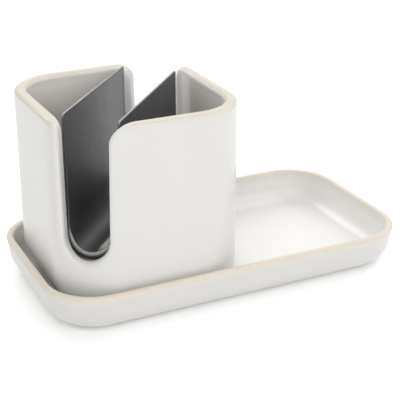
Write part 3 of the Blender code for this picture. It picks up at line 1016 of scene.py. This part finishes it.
def bump(tree, height, distance, strength, before=None):
    """Normal tilted by a height, on top of another bump if one is given."""
    node = tree.nodes.new("ShaderNodeBump")
    node.inputs["Distance"].default_value = distance
    node.inputs["Strength"].default_value = strength
    tree.links.new(height, node.inputs["Height"])
    if before:
        tree.links.new(before, node.inputs["Normal"])
    return node.outputs["Normal"]


# %% Colours of the glaze and of the bare clay
THIN_GLAZE = (0.69, 0.665, 0.61)
PINHOLE = (0.42, 0.36, 0.28)
DARK_GRAIN = (0.56, 0.49, 0.40)


def glaze_colour(tree, place, thick, lit_and_shaded_whites):
    """Clouds of white, thin toward the rim, painted lighter just inside and darker deep inside as
    painted light and shade, with a few dark pinholes.
    """
    cloud = remap(tree, noise(tree, place, 28, 3.0), 0.35, 0.65, 0, 1)
    white = blend(tree, cloud, tuple(0.985 * part for part in lit_and_shaded_whites[0]), lit_and_shaded_whites[0])
    white = blend(tree, thick, THIN_GLAZE, white)
    # Painted light just inside and painted shade deep inside, from the inside attribute.
    inside = attribute(tree, "inside")
    white = blend(tree, remap(tree, inside, 0, 1, 0, 1), white, lit_and_shaded_whites[1])
    white = blend(tree, remap(tree, inside, 1, 2, 0, 1), white, lit_and_shaded_whites[2])
    cells = tree.nodes.new("ShaderNodeTexVoronoi")
    cells.inputs["Scale"].default_value = 140
    tree.links.new(place, cells.inputs["Vector"])
    pinhole = remap(tree, cells.outputs["Distance"], 0.030, 0.055, 1, 0)
    rare = remap(tree, noise(tree, place, 60, 0.0), 0.60, 0.64, 0, 1)
    speck = maths(tree, "MULTIPLY", pinhole, rare)
    return blend(tree, maths(tree, "MULTIPLY", speck, 0.12), white, PINHOLE)


def clay_colour(tree, place, grain, clays):
    """Fine sand between two clays, with darker grains where the grain noise is high."""
    sand = remap(tree, noise(tree, place, 420, 4.0, 0.7), 0.3, 0.7, 0, 1)
    clay = blend(tree, sand, *clays)
    return blend(tree, remap(tree, grain, 0.60, 0.75, 0, 0.25), clay, DARK_GRAIN)


# %% White glaze with a bare clay rim
EDGE_WOBBLE = 0.0014
EDGE_SOFTNESS = 0.0003
THIN_GLAZE_WIDTH = 0.0035
CLAY_ROUGHNESS = 0.75


def make_glaze(name, bare_width, clays, lit_and_shaded_whites, gloss_range):
    """Satin white glaze, bare clay within bare_width of the rim's middle.

    clays are the darkest and lightest clay; the three whites are the glaze outside, the painted
    light just inside and the painted shade deep inside.
    """
    material, tree, shader, place = new_material(name)
    from_rim = attribute(tree, "from_rim")
    wobble = maths(tree, "MULTIPLY", noise(tree, place, 130, 4.0), EDGE_WOBBLE)
    distance = maths(tree, "ADD", from_rim, maths(tree, "SUBTRACT", wobble, EDGE_WOBBLE / 2))
    glazed = remap(tree, distance, bare_width - EDGE_SOFTNESS, bare_width + EDGE_SOFTNESS,
                   0, 1, smooth=True)
    thick = remap(tree, distance, bare_width, bare_width + THIN_GLAZE_WIDTH, 0, 1, smooth=True)
    white = glaze_colour(tree, place, thick, lit_and_shaded_whites)
    grain = noise(tree, place, 1900, 2.0)
    clay = clay_colour(tree, place, grain, clays)
    tree.links.new(blend(tree, glazed, clay, white), shader.inputs["Base Color"])

    gloss = remap(tree, noise(tree, place, 75, 3.0), 0.3, 0.7, *gloss_range)
    rough = maths(tree, "ADD", maths(tree, "MULTIPLY", gloss, glazed),
                  maths(tree, "MULTIPLY", maths(tree, "SUBTRACT", 1.0, glazed), CLAY_ROUGHNESS))
    tree.links.new(rough, shader.inputs["Roughness"])
    shader.inputs["IOR"].default_value = 1.52

    peel = bump(tree, noise(tree, place, 300, 1.0), 0.00003, 0.15)
    rough_clay = maths(tree, "MULTIPLY", maths(tree, "SUBTRACT", 1.0, glazed), grain)
    gritty = bump(tree, rough_clay, 0.00012, 0.6, peel)
    step = bump(tree, glazed, 0.00018, 0.8, gritty)
    tree.links.new(step, shader.inputs["Normal"])
    return material


# The whites after the first are painted light and shade: both pieces are painted lighter inside,
# and the holder darker and browner deep inside.
TRAY_CLAYS = (0.68, 0.62, 0.53), (0.72, 0.675, 0.59)
TRAY_LIT_AND_SHADED_WHITES = (0.657, 0.648, 0.625), (0.79, 0.78, 0.755), (0.79, 0.78, 0.755)
HOLDER_CLAYS = (0.67, 0.62, 0.53), (0.71, 0.67, 0.585)
HOLDER_LIT_AND_SHADED_WHITES = (0.695, 0.686, 0.662), (0.87, 0.84, 0.795), (0.56, 0.50, 0.42)
tray.data.materials.append(
    make_glaze("white_glaze_tray", 0.0034, TRAY_CLAYS, TRAY_LIT_AND_SHADED_WHITES, (0.29, 0.35)))
holder.data.materials.append(
    make_glaze("white_glaze_holder", 0.0037, HOLDER_CLAYS, HOLDER_LIT_AND_SHADED_WHITES, (0.20, 0.27)))
print("glazes made")

# %% [markdown]
# The channel is sheet with a dark satin coat. A fine grain in the coat and slow patches of
# roughness, as from handling, break up its reflections. The coat is painted lighter on the top
# edges and on the round ends of the floor: partly wear, where sponges are pulled out, and partly
# a painted highlight, where an overhead light catches those edges. A second attribute holds how
# much lighter it is at each point.

# %% Dark satin coat


def make_coat():
    """Dark coat with a fine grain and patchy gloss, painted lighter at the edges as wear and a
    painted highlight.
    """
    material, tree, shader, place = new_material("dark_satin_coat")
    tone = remap(tree, noise(tree, place, 45, 4.0), 0.3, 0.7, 0, 1)
    dark = blend(tree, tone, (0.036, 0.0365, 0.043), (0.042, 0.0425, 0.049))
    wear_and_painted_highlight = attribute(tree, "wear_and_painted_highlight")
    uneven = remap(tree, noise(tree, place, 600, 2.0), 0.3, 0.7, 0.75, 1.0)
    share = maths(tree, "MULTIPLY", wear_and_painted_highlight, uneven)
    # Painted highlight and wear: the coat turns light grey on the top edges and the floor's ends.
    tree.links.new(blend(tree, share, dark, (0.34, 0.335, 0.33)), shader.inputs["Base Color"])
    patches = remap(tree, noise(tree, place, 110, 4.0, 0.6), 0.3, 0.7, 0.36, 0.42)
    tree.links.new(patches, shader.inputs["Roughness"])
    shader.inputs["IOR"].default_value = 1.75
    grain = noise(tree, place, 2600, 1.0)
    tree.links.new(bump(tree, grain, 0.00002, 0.08), shader.inputs["Normal"])
    return material


channel.data.materials.append(make_coat())
print("coat made")

# %% [markdown]
# ## Riding on the CAD bodies
# Each surface replaces its CAD node and moves with that node's body, so a lifted holder takes its
# new surface along.

# %% Tie the surfaces to the bodies
for piece, body, node, slot in (
        (tray, "tray", "soap_tray", "tray_glaze"),
        (holder, "holder", "utensil_holder", "holder_glaze"),
        (channel, "channel", "sponge_channel", "channel_sheet")):
    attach(piece, body)
    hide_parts(node)
print("three surfaces ride on their bodies")

# %% [markdown]
# ## Stage, light and camera
# The photograph looks as if it was taken on a white table in a white tent. A pale floor that
# glows a little, a white surrounding and six soft lamps give the same even light, with a faint
# shadow under the tray. The lamps in front and behind are the strongest, and the one behind
# draws the soft light lines in the tray's fillet.

# %% Floor
FLOOR_HALF = 3
FLOOR_LEVEL = -0.0002
floor_mesh = bpy.data.meshes.new("floor")
floor_corners = [(x * FLOOR_HALF, y * FLOOR_HALF, FLOOR_LEVEL)
                 for x, y in ((-1, -1), (1, -1), (1, 1), (-1, 1))]
floor_mesh.from_pydata(floor_corners, [], [(0, 1, 2, 3)])
floor = bpy.data.objects.new("floor", floor_mesh)
bpy.context.scene.collection.objects.link(floor)
paper, paper_tree, paper_shader, paper_place = new_material("white_paper")
paper_tone = remap(paper_tree, noise(paper_tree, paper_place, 3, 2.0), 0.3, 0.7, 0, 1)
paper_tree.links.new(blend(paper_tree, paper_tone, (0.95, 0.95, 0.95), (0.96, 0.96, 0.96)),
                     paper_shader.inputs["Base Color"])
paper_shader.inputs["Roughness"].default_value = 0.9
paper_shader.inputs["Emission Color"].default_value = (1.0, 1.0, 1.0, 1.0)
paper_shader.inputs["Emission Strength"].default_value = 0.14
floor_mesh.materials.append(paper)
print("floor is", 2 * FLOOR_HALF, "m wide")

# %% Light
world = bpy.data.worlds.new("white_tent")
world.use_nodes = True
world.node_tree.nodes["Background"].inputs["Color"].default_value = (1.0, 1.0, 1.0, 1.0)
world.node_tree.nodes["Background"].inputs["Strength"].default_value = 0.50
bpy.context.scene.world = world
bpy.context.scene.view_settings.view_transform = "Standard"


def soft_lamp(name, place, target, size, power):
    """A square lamp at a place, facing a target."""
    light = bpy.data.lights.new(name, "AREA")
    light.shape, light.size, light.energy = "SQUARE", size, power
    lamp = bpy.data.objects.new(name, light)
    bpy.context.scene.collection.objects.link(lamp)
    lamp.location = place
    lamp.rotation_euler = (Vector(target) - Vector(place)).to_track_quat("-Z", "Y").to_euler()


soft_lamp("lamp_above", (0.0, 0.1, 1.1), (0, 0, 0), 1.0, 1.0)
soft_lamp("lamp_right", (0.8, 0.1, 0.8), (0, 0, 0), 0.7, 3.2)
soft_lamp("lamp_behind", (-0.05, 1.1, 0.75), (0.05, 0, 0.02), 0.75, 6.4)
soft_lamp("lamp_behind_right", (0.8, 0.9, 0.7), (0, 0, 0.04), 0.6, 0.7)
soft_lamp("lamp_front", (-0.45, -0.77, 0.80), (0, 0, 0.04), 0.8, 4.6)
soft_lamp("lamp_front_right", (0.6, -0.9, 0.6), (0, 0, 0.04), 0.6, 2.0)
print("lamps set")

# %% [markdown]
# ## The camera
# The camera was fitted to the outlines of the three pieces in the photograph. Its focal length
# and the middle of its picture are in pixels of a square photograph, and become a lens in
# millimetres and a small shift. It looks at a point just above the tray's middle.

# %% Camera
PHOTO_SIDE = 400
FOCAL_PIXELS = 1045.96
MIDDLE_X, MIDDLE_Y = 193.48, 197.34
SENSOR_WIDTH = 36.0
LOOK_AT = Vector((-0.00607, 0, 0.04644))
azimuth, elevation, distance = math.radians(-25.73), math.radians(23.31), 0.66995
back = Vector((math.sin(azimuth) * math.cos(elevation), -math.cos(azimuth) * math.cos(elevation),
               math.sin(elevation)))
right = Vector((math.cos(azimuth), math.sin(azimuth), 0.0))
lens = bpy.data.cameras.new("photo_camera")
lens.sensor_width = SENSOR_WIDTH
lens.lens = FOCAL_PIXELS / PHOTO_SIDE * SENSOR_WIDTH
lens.shift_x = (PHOTO_SIDE / 2 - MIDDLE_X) / PHOTO_SIDE
lens.shift_y = (MIDDLE_Y - PHOTO_SIDE / 2) / PHOTO_SIDE
lens.clip_start, lens.clip_end = 0.01, 20.0
camera = bpy.data.objects.new("photo_camera", lens)
bpy.context.scene.collection.objects.link(camera)
turn = Matrix((right, back.cross(right), back)).transposed().to_4x4()
camera.matrix_world = Matrix.Translation(LOOK_AT + back * distance) @ turn
bpy.context.scene.camera = camera
print("camera is", round(distance, 3), "m from the caddy")
